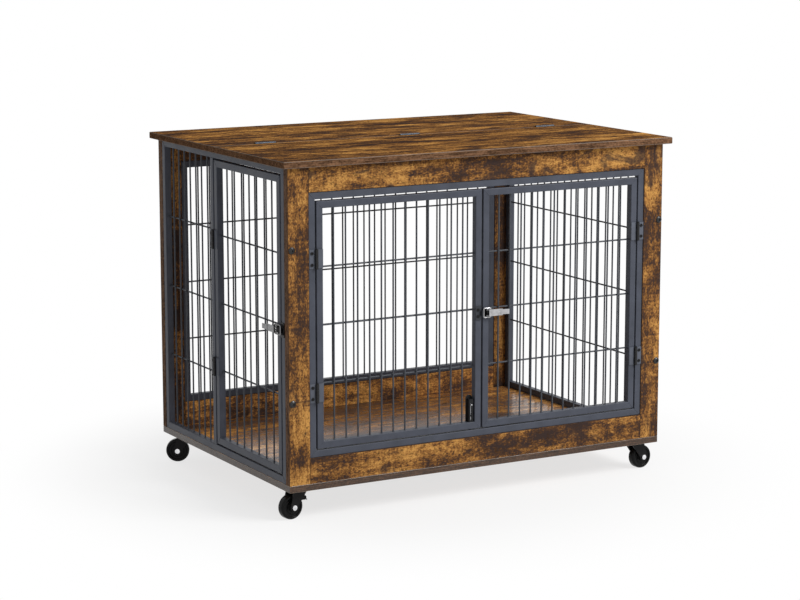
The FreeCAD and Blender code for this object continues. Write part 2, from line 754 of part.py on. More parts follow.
def latch_keeper():
    """The keeper plate with its lip and two screw holes, beside the loop's end."""
    plate = rounded_block("keeper_plate", size.keeper_wide, size.leaf_thick, size.keeper_tall,
                          size.keeper_round, lambda edge: edge.CenterOfMass.x < 1
                          and abs(edge.Vertexes[0].Point.y - edge.Vertexes[-1].Point.y) > 0.5)
    place(plate, -size.keeper_start - size.keeper_wide, -size.leaf_thick, -size.keeper_tall / 2)
    lip = box("keeper_lip", size.leaf_thick, size.keeper_lip_out, size.keeper_lip_tall,
              -size.keeper_start - size.leaf_thick, -size.keeper_lip_out,
              -size.keeper_lip_tall / 2)
    holes = [cylinder(f"keeper_hole_{number}", size.screw_hole, size.leaf_thick + 2,
                      -size.keeper_start - 7.3, -size.leaf_thick - 1, 6 * step, ALONG_Y)
             for number, step in enumerate((1, -1))]
    return cut("latch_keeper", fuse("keeper_solid", plate, lip), bundle("keeper_holes", holes))


def make_latches(screw, frame_screws):
    """A lever latch between the front doors and one on the side door."""
    pieces = {"keeper": latch_keeper(), "base": latch_base(), "lever": latch_lever()}
    loops = {"front": latch_loop("front_loop", size.loop_reach_front),
             "side": latch_loop("side_loop", size.loop_reach_side)}
    front_x = size.door_gap_middle / 2 + size.latch_inset
    side_x = side_door_right - size.latch_inset
    spots = {"front": ("front", front_x, size.latch_front_z, 1),
             "side": ("left", side_x, size.latch_side_z, -1)}
    for latch, (wall, x, z, toward) in spots.items():
        wall_turn = FreeCAD.Rotation(Z_AXIS, WALLS[wall][2])
        turn = wall_turn if toward > 0 else wall_turn * FLIPPED
        spot_x, spot_y = wall_point(wall, x, as_size(0))
        for part, source in {**pieces, "loop": loops[latch]}.items():
            label = f"{latch}_latch_{part}"
            copy = copy_of(label + "_copy", source, spot_x, spot_y, z, turn)
            node(label, bundle(label + "_piece", [copy]))
        screw_x, screw_y = wall_point(wall, x - (size.keeper_start + 7.3) * toward,
                                      -size.leaf_thick)
        screws = [copy_of(f"{latch}_keeper_screw_{number}", screw, screw_x, screw_y,
                          z + 6 * step, wall_turn) for number, step in enumerate((1, -1))]
        if latch == "front":
            node("front_keeper_screws", bundle("front_keeper_set", screws))
        else:
            frame_screws += screws
    node("frame_screws", bundle("frame_screw_set", frame_screws))


def make_drop_bolt():
    """Slotted housing beside the meeting stile of the left door, and the rod that slides in it."""
    middle = size.tube_side / 2
    x = -size.drop_bolt_x
    low = door_low + size.tube_side
    right = door_right - size.tube_side
    plate_y = middle + size.drop_rod_radius + 1.2
    pieces = [
        box("drop_plate", size.drop_plate_wide, size.leaf_thick, size.drop_plate_top - low,
            right - size.drop_plate_wide, plate_y, low),
        cylinder("drop_plate_head", size.drop_plate_wide / 2, size.leaf_thick,
                 right - size.drop_plate_wide / 2, plate_y, size.drop_plate_top, ALONG_Y),
        box("drop_guide", size.drop_guide_wide, plate_y - 2.2, size.drop_plate_top - low,
            x - size.drop_guide_wide / 2, 2.2, low)]
    openings = [
        cylinder("drop_bore", size.drop_guide_bore, size.drop_plate_top, x, middle, low - 1)]
    slots = ((size.drop_slot_low, size.drop_slot_low_tall),
             (size.drop_slot_high, size.drop_slot_high_tall))
    for number, (z, tall) in enumerate(slots):
        openings.append(box(f"drop_slot_{number}", size.drop_slot_wide, middle, tall,
                            x - size.drop_slot_wide / 2, 0, z))
    plate = cut("drop_bolt_plate", fuse("drop_plate_solid", *pieces),
                bundle("drop_openings", openings))
    on_wall(node("floor_bolt_plate", plate), "front")
    rod = fuse("drop_bolt_rod",
               cylinder("drop_rod", size.drop_rod_radius, size.drop_rod_long, x, middle,
                        size.drop_rod_low),
               cylinder("drop_knob", size.drop_knob_radius, size.drop_knob_long, x, middle,
                        size.drop_knob_z, TO_FRONT))
    on_wall(node("floor_bolt_rod", rod), "front")


def make_post_bolts():
    """Button-head socket bolts through the posts into the side frames."""
    head = size.bolt_head_tall
    dome = doc.addObject("Part::Cone", "bolt_dome")
    bind(dome, Radius1=size.bolt_head, Radius2=size.bolt_head * 0.6, Height=head * 0.6)
    place(dome, 0, -head * 0.4, 0, TO_FRONT)
    solid = fuse("bolt_solid", dome,
                 cylinder("bolt_rim", size.bolt_head, head * 0.4, 0, -head * 0.4, 0, ALONG_Y),
                 cylinder("bolt_shank", size.bolt_shank, size.bolt_long, 0, 0, 0, ALONG_Y))
    socket = doc.addObject("Part::Prism", "bolt_socket")
    socket.Polygon = 6
    bind(socket, Circumradius=size.bolt_socket, Height=size.bolt_socket_deep)
    place(socket, 0, size.bolt_socket_deep - head, 0, TO_FRONT)
    bolt = cut("post_bolt", solid, socket)
    copies = []
    for end, toward in ENDS.items():
        turn = UPRIGHT if toward < 0 else TURNED
        for side, across in SIDES.items():
            for number, level in enumerate((size.bolt_lower, size.bolt_upper)):
                copies.append(copy_of(f"bolt_{end}_{side}_{number}", bolt, bolt_x * across,
                                      half_depth * toward, level, turn))
    node("post_bolts", bundle("post_bolt_set", copies))


def caster_plate():
    """Mounting plate with its raceway and kingpin; the fork turns round the pin."""
    side = size.plate_side
    plate_low = size.caster_height - size.plate_thick
    race_low = plate_low - size.race_tall
    pin_low = race_low - size.fork_play - size.fork_top_thick - 0.4
    solid = fuse(
        "caster_plate_solid",
        box("caster_plate_flat", side, side, size.plate_thick, -side / 2, -side / 2, plate_low),
        cylinder("caster_race", size.race_radius, size.race_tall, 0, 0, race_low),
        cylinder("caster_king", size.king_radius, plate_low - pin_low, 0, 0, pin_low),
        cylinder("caster_king_head", size.king_head, size.king_head_tall, 0, 0,
                 pin_low - size.king_head_tall))
    holes = [cylinder(f"caster_plate_hole_{number}", size.screw_hole, size.plate_thick + 2,
                      size.plate_hole_half * across, size.plate_hole_half * along, plate_low - 1)
             for number, (across, along) in enumerate(((1, 1), (1, -1), (-1, 1), (-1, -1)))]
    return cut("caster_plate", solid, bundle("caster_plate_holes", holes))


def caster_fork(name, braked):
    """Fork with a round top and two tapering legs; braked ones carry eyes for the pedal."""
    top_high = size.caster_height - size.plate_thick - size.race_tall - size.fork_play
    top_low = top_high - size.fork_top_thick
    trail = size.caster_trail
    axle_z = size.wheel_radius
    outside = size.fork_inside + size.leg_thick
    pieces = [
        cylinder(name + "_top", size.fork_top_radius, size.fork_top_thick, 0, 0, top_low),
        box(name + "_bridge", size.leg_front * 2 - 1, outside * 2, size.fork_top_thick,
            -size.leg_front, -outside, top_low)]
    for number, y in enumerate((size.fork_inside, -outside)):
        leg = doc.addObject("Part::Wedge", f"{name}_leg_{number}")
        tall = top_high - axle_z
        bind(leg, Xmin=0, Ymin=0, Zmin=0, Xmax=size.leg_front * 2 - 1, Ymax=tall,
             Zmax=size.leg_thick, X2min=size.leg_front + trail - size.leg_foot,
             X2max=size.leg_front + trail + size.leg_foot, Z2min=0, Z2max=size.leg_thick)
        pieces.append(place(leg, -size.leg_front, y, top_high, ALONG_Y))
        pieces.append(cylinder(f"{name}_foot_{number}", size.leg_foot, size.leg_thick,
                               trail, y, axle_z, ALONG_Y))
        if braked:
            pieces.append(cylinder(f"{name}_eye_{number}", size.pedal_eye, size.leg_thick,
                                   -size.pedal_x, y, size.pedal_z, ALONG_Y))
    bores = [cylinder(name + "_king_bore", size.king_bore, 20, 0, 0, top_low - 5),
             cylinder(name + "_axle_bore", size.wheel_bore, outside * 2 + 2,
                      trail, -outside - 1, axle_z, ALONG_Y)]
    if braked:
        bores.append(cylinder(name + "_pedal_bore", size.pedal_bore, outside * 2 + 2,
                              -size.pedal_x, -outside - 1, size.pedal_z, ALONG_Y))
    return cut(name, fuse(name + "_solid", *pieces), bundle(name + "_bores", bores))


def caster_wheel(name):
    """A turned wheel with hub, recessed web and rounded tread; its axis runs along y."""
    half = size.wheel_wide / 2
    web = size.wheel_web / 2
    body = doc.addObject("PartDesign::Body", name)
    profile = [(size.wheel_bore, -half), (size.wheel_hub, -half), (size.wheel_hub, -web),
               (size.wheel_rim_inside, -web), (size.wheel_rim_inside, -half + 1),
               (size.wheel_radius, -half + 1), (size.wheel_radius, half - 1),
               (size.wheel_rim_inside, half - 1), (size.wheel_rim_inside, web),
               (size.wheel_hub, web), (size.wheel_hub, half), (size.wheel_bore, half)]
    sketch = sketch_on(body, "XY_Plane", profile)
    turned = body.newObject("PartDesign::Revolution", name + "_turned")
    turned.Profile = sketch
    turned.ReferenceAxis = (sketch, ["V_Axis"])
    turned.Angle = 360
    doc.recompute()
    tread = [f"Edge{number}" for number, edge in enumerate(turned.Shape.Edges, start=1)
             if isinstance(edge.Curve, Part.Circle)
             and abs(edge.Curve.Radius - size.wheel_radius.value) < 0.01]
    rounding = body.newObject("PartDesign::Fillet", name + "_tread")
    rounding.Base = (turned, tread)
    bind(rounding, Radius=size.wheel_round)
    body.Tip = rounding
    return body


def caster_axle():
    """Axle bolt along y with a head at each end outside the legs."""
    outside = size.fork_inside + size.leg_thick
    head = size.axle_head_tall
    return fuse("caster_axle",
                cylinder("axle_shaft", size.axle_radius, outside * 2, 0, -outside, 0, ALONG_Y),
                cylinder("axle_head_0", size.axle_head, head, 0, -outside - head, 0, ALONG_Y),
                cylinder("axle_head_1", size.axle_head, head, 0, outside, 0, ALONG_Y))


def pedal_blade(name, long, half, thick, angle):
    """A flat blade that starts on the pin's centre line and is turned down by an angle."""
    turn = FreeCAD.Rotation(Y_AXIS, angle)
    across = turn.multVec(Z_AXIS)
    return box(name, long, half * 2, thick, thick * (-across.x / 2), -half,
               thick * (-across.z / 2), turn)


def brake_pedal():
    """Pedal on a cross pin at the leading side, with a shoe that swings towards the tread."""
    half = size.pedal_half
    outside = size.fork_inside + size.leg_thick
    return fuse("brake_pedal",
                cylinder("pedal_tube", size.pedal_tube, half * 2, 0, -half, 0, ALONG_Y),
                cylinder("pedal_pin", size.pedal_pin, outside * 2, 0, -outside, 0, ALONG_Y),
                pedal_blade("pedal_arm", size.pedal_long, half - 0.5, size.pedal_thick, 145),
                pedal_blade("pedal_shoe", size.pedal_shoe_long, half - 2,
                            size.pedal_shoe_thick, 95))


def make_casters(screw):
    """Four swivel casters; the front left one has a brake."""
    plate = caster_plate()
    forks = {braked: caster_fork("braked_fork" if braked else "plain_fork", braked)
             for braked in (True, False)}
    wheel = caster_wheel("wheel")
    axle = caster_axle()
    pedal = brake_pedal()
    into_base = FreeCAD.Rotation(X_AXIS, 90)
    plates, screws = [], []
    for end, toward in ENDS.items():
        for side, across in SIDES.items():
            corner = f"{end}_{side}"
            pivot_x, pivot_y = size.caster_x * across, size.caster_y * toward
            turn = FreeCAD.Rotation(Z_AXIS, TRAILS[corner])
            plates.append(copy_of(corner + "_plate", plate, pivot_x, pivot_y))
            for number, (step_x, step_y) in enumerate(((1, 1), (1, -1), (-1, 1), (-1, -1))):
                screws.append(copy_of(
                    f"{corner}_screw_{number}", screw, pivot_x + size.plate_hole_half * step_x,
                    pivot_y + size.plate_hole_half * step_y,
                    size.caster_height - size.plate_thick, into_base))
            lead = turn.multVec(X_AXIS)
            axle_x = pivot_x + size.caster_trail * lead.x
            axle_y = pivot_y + size.caster_trail * lead.y
            braked = corner in BRAKED
            pieces = {"fork": (forks[braked], pivot_x, pivot_y, 0),
                      "wheel": (wheel, axle_x, axle_y, size.wheel_radius),
                      "axle": (axle, axle_x, axle_y, size.wheel_radius)}
            if braked:
                pieces["brake_pedal"] = (pedal, pivot_x - size.pedal_x * lead.x,
                                         pivot_y - size.pedal_x * lead.y, size.pedal_z)
            for part, (source, x, y, z) in pieces.items():
                label = f"{corner}_{part}"
                node(label, bundle(label + "_piece",
                                   [copy_of(label + "_copy", source, x, y, z, turn)]))
    node("caster_plates", bundle("caster_plate_set", plates))
    node("caster_screws", bundle("caster_screw_set", screws))


def write_parts():
    """Checks every feature, then writes one file for each sub-part."""
    doc.recompute()
    for feature in doc.Objects:
        if "Invalid" in feature.State or "Error" in feature.State:
            raise RuntimeError(f"{feature.Name} did not build: {feature.State}")
    os.makedirs("parts", exist_ok=True)
    for feature in nodes:
        shape = feature.Shape
        if shape.isNull() or not shape.isValid() or not shape.Solids:
            raise RuntimeError(f"{feature.Label} has no valid solid")
        shape.exportStep(f"parts/{feature.Label}.step")


screw = pan_screw("pan_screw")
make_boards()
make_walls()
pins, frame_screws = make_hinges(screw)
make_lid_hinges(pins)
make_latches(screw, frame_screws)
make_drop_bolt()
make_post_bolts()
make_casters(screw)
write_parts()
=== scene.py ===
"""Finishes of the pet cage: rustic board laminate, powder-coated tube and wire, latches and casters."""

import json
import math

import bmesh
import bpy
import numpy as np
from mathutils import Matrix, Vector


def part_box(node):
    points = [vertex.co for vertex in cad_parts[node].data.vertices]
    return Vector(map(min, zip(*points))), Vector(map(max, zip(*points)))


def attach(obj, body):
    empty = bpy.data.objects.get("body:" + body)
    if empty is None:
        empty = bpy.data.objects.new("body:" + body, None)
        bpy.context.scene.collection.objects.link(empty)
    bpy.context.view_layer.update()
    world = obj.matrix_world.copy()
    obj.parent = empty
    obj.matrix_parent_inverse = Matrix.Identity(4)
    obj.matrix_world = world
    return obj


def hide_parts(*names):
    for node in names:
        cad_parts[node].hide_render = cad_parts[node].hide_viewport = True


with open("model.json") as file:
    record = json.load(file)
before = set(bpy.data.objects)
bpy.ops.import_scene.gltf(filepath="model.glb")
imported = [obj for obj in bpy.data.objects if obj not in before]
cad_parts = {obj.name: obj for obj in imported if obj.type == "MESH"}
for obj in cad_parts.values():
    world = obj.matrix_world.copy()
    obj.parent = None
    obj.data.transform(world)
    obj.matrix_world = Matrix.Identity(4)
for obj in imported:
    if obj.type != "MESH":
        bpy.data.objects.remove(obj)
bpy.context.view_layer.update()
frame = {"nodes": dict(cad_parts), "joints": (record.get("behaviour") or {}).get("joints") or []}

bl_info = {
    "name": "Pet Cage Finishes",
    "version": (1, 0, 0),
    "blender": (4, 5, 0),
    "location": "3D View > Sidebar > Pet Cage",
    "description": "Board laminate, powder-coated steel, latches, casters and a studio for a pet cage",
    "category": "Object",
}

# Each board: the axis its broad faces look along, the axis of its grain, how its print is laid
# (where it starts, how fine it is, how light it is) and its gloss. How light it is, is painted
# light: much lighter on the base panel and the rear bottom rail, a little lighter on the tops.
BOARDS = {
    "rear_top_panel": ("Z", "X", (0.31, 0.77, 0.13), 1.5, 1.24, 0.0),
    "front_lid": ("Z", "X", (1.93, 0.42, 0.58), 1.5, 1.12, 0.0),
    "base_panel": ("Z", "X", (2.61, 1.37, 0.91), 1.0, 1.95, 0.42),
    "front_top_rail": ("Y", "X", (3.45, 0.23, 1.12), 1.0, 0.95, 0.03),
    "front_bottom_rail": ("Y", "X", (5.17, 0.66, 1.74), 1.0, 1.0, 0.03),
    "rear_top_rail": ("Y", "X", (6.29, 1.58, 2.33), 1.0, 1.0, 0.03),
    "rear_bottom_rail": ("Y", "X", (7.83, 2.46, 0.37), 1.0, 1.7, 0.03),
    "front_left_post": ("Y", "Z", (0.57, 3.21, 1.49), 1.0, 1.0, 0.03),
    "front_right_post": ("Y", "Z", (1.74, 4.12, 2.91), 1.0, 1.0, 0.03),
    "rear_left_post": ("Y", "Z", (2.38, 5.43, 0.85), 1.0, 1.0, 0.03),
    "rear_right_post": ("Y", "Z", (4.91, 6.37, 1.66), 1.0, 1.0, 0.03),
}
# How much a board's gloss takes off its roughness and off the colour of its edge band.
GLOSS_SMOOTHS = 0.7
GLOSS_DARKENS = 1.2
# Places of the smudge, walnut, amber and honey tones along the printed wood's range.
TONE_STOPS = (0.16, 0.40, 0.60, 0.92)
# Tube frames and grilles, with the bodies that they ride on.
TUBE_FRAMES = {"front_frame": "cage", "rear_frame": "cage", "right_side_frame": "cage",
               "left_side_frame": "cage", "left_door_frame": "left_door",
               "right_door_frame": "right_door", "side_door_frame": "side_door"}
GRILLES = {"rear_grille": "cage", "left_side_grille": "cage", "right_side_grille": "cage",
           "left_door_grille": "left_door", "right_door_grille": "right_door",
           "side_door_grille": "side_door"}
HINGE_LEAVES = ("hinge_frame_leaves", "left_door_hinge_leaves", "right_door_hinge_leaves",
                "side_door_hinge_leaves")
# Upright hinge axes, as (distance from the middle along X, place along Y), and how far their
# barrels reach; the barrels are painted black there as painted shade.
HINGE_BARRELS = ((0.333, -0.26935), (0.3896, 0.02725))
BARREL_REACH = 0.0034
LID_HINGES = ("lid_hinge_rear_leaves", "lid_hinge_front_leaves")
# All black; on the side latch's keeper the black is painted shade.
BLACK_HARDWARE = ("hinge_pins", "front_latch_base", "side_latch_keeper", "floor_bolt_plate",
                  "frame_screws", "front_keeper_screws")
# Plated parts: the axis of their brush lines and their share of the bright steel's colour. The
# floor bolt rod's share above one is painted light on a rod that lies in shade.
PLATED_HARDWARE = {"front_latch_lever": ("X", 1.0), "front_latch_loop": ("X", 1.0),
                   "side_latch_lever": ("Y", 0.48), "side_latch_loop": ("Y", 0.48),
                   "floor_bolt_rod": ("Z", 1.85), "side_latch_base": ("Y", 0.22),
                   "post_bolts": ("Y", 0.1)}
# The share of the axles and the caster screws: above one, a lighter copy of the bright steel as a
# painted highlight.
AXLE_HIGHLIGHT_SHARE = 1.85
CORNERS = ("front_left", "front_right", "rear_left", "rear_right")
# Gloss of the moulded wheels and of the brake pedal.
MOULDED_GLOSS = 0.12
# A weld collar's radius on its wire, a little inside the wire's face, and its height.
COLLAR_INSIDE = 0.00148
COLLAR_TALL = 0.0016
# How near the end of a grille a point counts as a wire's foot, and the least gap between wires.
FOOT_DEPTH = 0.0004
WIRE_GAP = 0.004
# The key light, and the floor: its half width, the distances from the middle between which the
# shadow fades away, and how far the floor is plain white at the middle already.
KEY_PLACE = (1.75, -2.55, 2.75)
KEY_TARGET = (0.0, 0.0, 0.33)
KEY_SIZE = 1.8
FLOOR_HALF = 14.0
SHADOW_FROM, SHADOW_TO = 0.35, 0.8
SHADOW_WHITE = 0.72


def colour_property(name, description, default):
    """A colour that a user would change, in linear light."""
    return bpy.props.FloatVectorProperty(
        name=name, description=description, default=default, size=3, min=0.0, max=1.0,
        subtype="COLOR")


class PetCageBoardSettings(bpy.types.PropertyGroup):
    """Colours and print of the board laminate."""

    honey: colour_property("Honey", "Lightest tone of the printed wood", (0.56, 0.285, 0.078))
    amber: colour_property("Amber", "Common tone of the printed wood", (0.265, 0.118, 0.034))
    walnut: colour_property("Walnut", "Darker tone of the printed wood", (0.092, 0.044, 0.021))
    smudge: colour_property("Smudge", "Tone of the dark smudges", (0.042, 0.027, 0.023))
    edge: colour_property("Edge", "Tone of the edge band", (0.125, 0.066, 0.036))
    # A pale tone on the flat boards' rounded edges: a painted highlight.
    edge_highlight: colour_property("Rubbed edge", "Tone of the flat boards' rounded edges",
                         (0.27, 0.22, 0.185))
    blotch: bpy.props.FloatProperty(
        name="Blotch size", description="Width of a blotch across the grain",
        default=0.034, min=0.005, unit="LENGTH")
    roughness: bpy.props.FloatProperty(
        name="Roughness", description="Roughness of the laminate", default=0.52,
        min=0.0, max=1.0, subtype="FACTOR")


class PetCageSteelSettings(bpy.types.PropertyGroup):
    """Colours of the painted and bright metal."""

    slate: colour_property("Tube paint", "Powder coat of the tubes", (0.058, 0.064, 0.083))
    wire: colour_property("Wire paint", "Powder coat of the wires", (0.050, 0.055, 0.066))
    keeper: colour_property("Keeper paint", "Paint of the front latch's keeper",
                            (0.030, 0.033, 0.040))
    # Lighter than the tube paint: a painted sheen on the hinge leaves.
    leaf: colour_property("Hinge paint", "Powder coat of the hinge leaves", (0.085, 0.094, 0.118))
    lid_hinge: colour_property("Lid hinges", "Steel of the lid hinges", (0.055, 0.060, 0.070))
    # Also the colour of the painted shade on the hinge barrels and on the side latch's keeper.
    black: colour_property("Black parts", "Black oxide of the small parts", (0.009, 0.009, 0.010))
    bright: colour_property("Bright steel", "Steel of latches, bolts and axles", (0.50, 0.50, 0.51))
    bead: bpy.props.FloatProperty(
        name="Seam bead", description="Width of the weld bead on a mitre", default=0.0016,
        min=0.0004, unit="LENGTH")
    collar: bpy.props.FloatProperty(
        name="Weld collar", description="Radius of the weld at a wire's foot", default=0.0026,
        min=0.0016, unit="LENGTH")
    peel: bpy.props.FloatProperty(
        name="Peel size", description="Grain size of the powder coat", default=0.0011,
        min=0.0001, unit="LENGTH")


class PetCageCasterSettings(bpy.types.PropertyGroup):
    """Shape and colour of the caster wheels."""

    rubber: colour_property("Wheel", "Moulded wheels", (0.0042, 0.0040, 0.0042))
    bracket: colour_property("Bracket", "Painted caster steel", (0.0085, 0.0080, 0.0085))
    radius: bpy.props.FloatProperty(
        name="Radius", description="Radius of a wheel", default=0.022, min=0.005, unit="LENGTH")
    width: bpy.props.FloatProperty(
        name="Width", description="Width of a wheel over its hub", default=0.017, min=0.004,
        unit="LENGTH")
    steps: bpy.props.IntProperty(
        name="Steps", description="Faces round a wheel", default=96, min=24)


class PetCageStageSettings(bpy.types.PropertyGroup):
    """Floor, light and camera."""

    floor: colour_property("Floor", "Pale floor", (0.86, 0.86, 0.86))
    eye: bpy.props.FloatVectorProperty(
        name="Camera", description="Where the camera stands", default=(-2.1703, -3.8042, 1.0962),
        size=3, subtype="TRANSLATION", unit="LENGTH")
    turn: bpy.props.FloatProperty(
        name="Turn", description="Camera's turn to the right of straight ahead",
        default=math.radians(29.505), subtype="ANGLE", unit="ROTATION")
    tilt: bpy.props.FloatProperty(
        name="Tilt", description="Camera's downward tilt", default=math.radians(10.079),
        subtype="ANGLE", unit="ROTATION")
    lens: bpy.props.FloatProperty(
        name="Lens", description="Focal length in millimetres", default=106.48, min=10.0)
    key: bpy.props.FloatProperty(
        name="Key light", description="Power of the large front light in watts", default=136.0)
    fill: bpy.props.FloatProperty(
        name="Sky", description="Strength of the even light from all round", default=0.36)


def rgba(colour):
    """A colour with full alpha."""
    return (*colour, 1.0)


def scaled(colour, share):
    """A colour made darker or lighter."""
    return tuple(share * part for part in colour)


def add(tree, kind, inputs=None, **settings):
    """A new node with its settings, each input a value or another node's output."""
    node = tree.nodes.new("ShaderNode" + kind)
    for name, value in settings.items():
        setattr(node, name, value)
    for name, value in (inputs or {}).items():
        if isinstance(value, bpy.types.NodeSocket):
            tree.links.new(value, node.inputs[name])
        else:
            node.inputs[name].default_value = value
    return node


def new_material(name):
    """A material with its node tree and its surface shader."""
    material = bpy.data.materials.new(name)
    material.use_nodes = True
    tree = material.node_tree
    return material, tree, tree.nodes["Principled BSDF"]


def stretched(tree, vector, scale):
    """Coordinates scaled by a different amount along each axis."""
    return add(tree, "Mapping", {"Vector": vector, "Scale": scale}).outputs["Vector"]


def noise(tree, vector, scale, detail, rough, distortion=0.0):
    """Value of a noise whose grain is scaled along each axis."""
    node = add(tree, "TexNoise", {"Vector": stretched(tree, vector, scale), "Scale": 1.0,
                                  "Detail": detail, "Roughness": rough,
                                  "Distortion": distortion})
    return node.outputs["Fac"]


def between(tree, value, low, high, to_low=0.0, to_high=1.0):
    """A value spread smoothly from one range to another and held at the ends."""
    node = add(tree, "MapRange", {"Value": value, "From Min": low, "From Max": high,
                                  "To Min": to_low, "To Max": to_high},
               interpolation_type="SMOOTHSTEP")
    return node.outputs["Result"]


def math_node(tree, operation, first, second):
    """Two values put together by one operation."""
    node = add(tree, "Math", {0: first, 1: second}, operation=operation)
    return node.outputs["Value"]


def ramp(tree, value, stops):
    """Colours laid along a value."""
    node = add(tree, "ValToRGB", {"Fac": value})
    while len(node.color_ramp.elements) < len(stops):
        node.color_ramp.elements.new(0.5)
    for element, (place, colour) in zip(node.color_ramp.elements, stops):
        element.position = place
        element.color = rgba(colour)
    return node.outputs["Color"]


def mix(tree, factor, first, second):
    """Two colours mixed by a factor. The node's colours are inputs 6 and 7 and output 2."""
    return add(tree, "Mix", {"Factor": factor, 6: first, 7: second}, data_type="RGBA").outputs[2]


def bump(tree, height, strength, distance):
    """A surface normal raised by a height."""
    node = add(tree, "Bump", {"Height": height, "Strength": strength, "Distance": distance})
    return node.outputs["Normal"]


def dress(node_name, material):
    """Gives a CAD node a finish."""
    target = frame["nodes"][node_name]
    if not target.material_slots:
        target.data.materials.append(material)
    for slot in target.material_slots:
        slot.material = material


def background_rays(tree):
    """1 for the rays that show the background: from the camera, from gloss and through glass."""
    path = add(tree, "LightPath").outputs
    seen = math_node(tree, "MAXIMUM", path["Is Camera Ray"], path["Is Glossy Ray"])
    return math_node(tree, "MAXIMUM", seen, path["Is Transmission Ray"])


def weighted_sum(tree, *terms):
    """Sum of values, each centred on one half and given its own weight, about one half."""
    total = 0.5
    for value, weight in terms:
        share = add(tree, "Math", {0: value, 1: weight, 2: -0.5 * weight}, operation="MULTIPLY_ADD")
        total = math_node(tree, "ADD", share.outputs["Value"], total)
    return total


def knots(tree, vector, apart, size):
    """Sparse round knots with ragged rims: 1 in a knot's heart and 0 away from it."""
    ragged = add(tree, "TexNoise", {"Vector": vector, "Scale": 2.2 / size, "Detail": 3.0})
    shift = add(tree, "VectorMath", {0: ragged.outputs["Color"], 1: (-0.5, -0.5, -0.5)})
    moved = add(tree, "VectorMath", {0: shift.outputs["Vector"], 1: (0.6 * size,) * 3,
                                     2: vector}, operation="MULTIPLY_ADD")
    cell = add(tree, "TexVoronoi", {"Vector": moved.outputs["Vector"], "Scale": 1.0 / apart})
    return between(tree, cell.outputs["Distance"], 0.9 * size / apart, 0.35 * size / apart)


def laminate(name, settings, face_axis, grain_axis, start, fine, painted_light, gloss):
    """Rustic board: amber and dark zones drawn out along the grain, mottling, knots, saw marks
    across the grain, fine flecks, a plainer band on the edges, and a painted highlight on the
    flat boards' rounded edges."""
    material, tree, surface = new_material(name)
    source = add(tree, "TexCoord")
    turn = (0.0, 0.0, 0.0) if grain_axis == "X" else (0.0, math.pi / 2, 0.0)
    print_at = add(tree, "Mapping", {"Vector": source.outputs["Object"], "Location": start,
                                     "Rotation": turn}).outputs["Vector"]
    across = fine / settings.blotch
    along = across * (0.5 if face_axis == "Z" else 1.0)

    def layer(lengthwise, crosswise, detail, rough, distortion=0.0):
        return noise(tree, print_at, (lengthwise, crosswise, crosswise), detail, rough, distortion)

    zone = layer(along * 0.17, across * 0.42, detail=5.0, rough=0.55, distortion=0.5)
    mottle = layer(along * 0.62, across * 1.25, detail=8.0, rough=0.72, distortion=0.4)
    stain = layer(along * 0.5, across * 0.8, detail=5.0, rough=0.6, distortion=0.8)
    streak = layer(9.0, 120.0, detail=5.0, rough=0.65, distortion=0.3)
    saw = layer(210.0, 14.0, detail=3.0, rough=0.6)
    fleck = layer(along * 4.0, 190.0, detail=6.0, rough=0.78)
    pore = layer(230.0, 400.0, detail=3.0, rough=0.6)
    tone = weighted_sum(tree, (zone, 1.6), (mottle, 1.9), (streak, 0.8 * fine), (saw, 0.5),
                        (fleck, 1.7), (pore, 1.0))
    # Each board's print is made lighter or darker by its painted light.
    tones = [scaled(colour, painted_light)
             for colour in (settings.smudge, settings.walnut, settings.amber, settings.honey)]
    wood = ramp(tree, tone, list(zip(TONE_STOPS, tones)))
    speck = between(tree, fleck, 0.54, 0.60, to_high=0.8)
    wood = mix(tree, speck, wood, rgba(scaled(tones[1], 0.5)))
    soaked = between(tree, stain, 0.55, 0.66, to_high=0.82)
    wood = mix(tree, soaked, wood, rgba(settings.smudge))
    knot = math_node(tree, "MULTIPLY", knots(tree, print_at, apart=0.085, size=0.011), 0.85)
    wood = mix(tree, knot, wood, rgba(settings.smudge))
    band_fibre = layer(24.0, 520.0, detail=5.0, rough=0.65)
    band_tone = weighted_sum(tree, (band_fibre, 1.5), (mottle, 0.8), (fleck, 0.9), (pore, 1.0))
    edge = scaled(settings.edge, 1.0 - GLOSS_DARKENS * gloss)
    band = ramp(tree, band_tone, [(0.26, scaled(edge, 0.4)), (0.52, edge), (0.78, scaled(edge, 1.8))])
    normal = add(tree, "SeparateXYZ", {"Vector": source.outputs["Normal"]})
    facing = math_node(tree, "ABSOLUTE", normal.outputs[face_axis], 0.0)
    on_face = between(tree, facing, 0.55, 0.75)
    # The rounded edges: a pale painted highlight on the flat boards, the dark smudge tone on the posts
    # and rails.
    edge_rim = math_node(tree, "MULTIPLY", between(tree, facing, 0.12, 0.35),
                       between(tree, facing, 0.985, 0.9, to_high=0.6))
    rim = settings.edge_highlight if face_axis == "Z" else settings.smudge
    board = mix(tree, edge_rim, mix(tree, on_face, band, wood), rgba(rim))
    tree.links.new(board, surface.inputs["Base Color"])
    rough = settings.roughness - GLOSS_SMOOTHS * gloss
    worn = between(tree, tone, 0.25, 0.75, rough + 0.08, rough - 0.06)
    tree.links.new(worn, surface.inputs["Roughness"])
    surface.inputs["Specular IOR Level"].default_value = gloss
    relief = weighted_sum(tree, (fleck, 0.6), (streak, 0.8), (band_fibre, 0.4))
    tree.links.new(bump(tree, relief, strength=0.3, distance=0.0004), surface.inputs["Normal"])
    return material


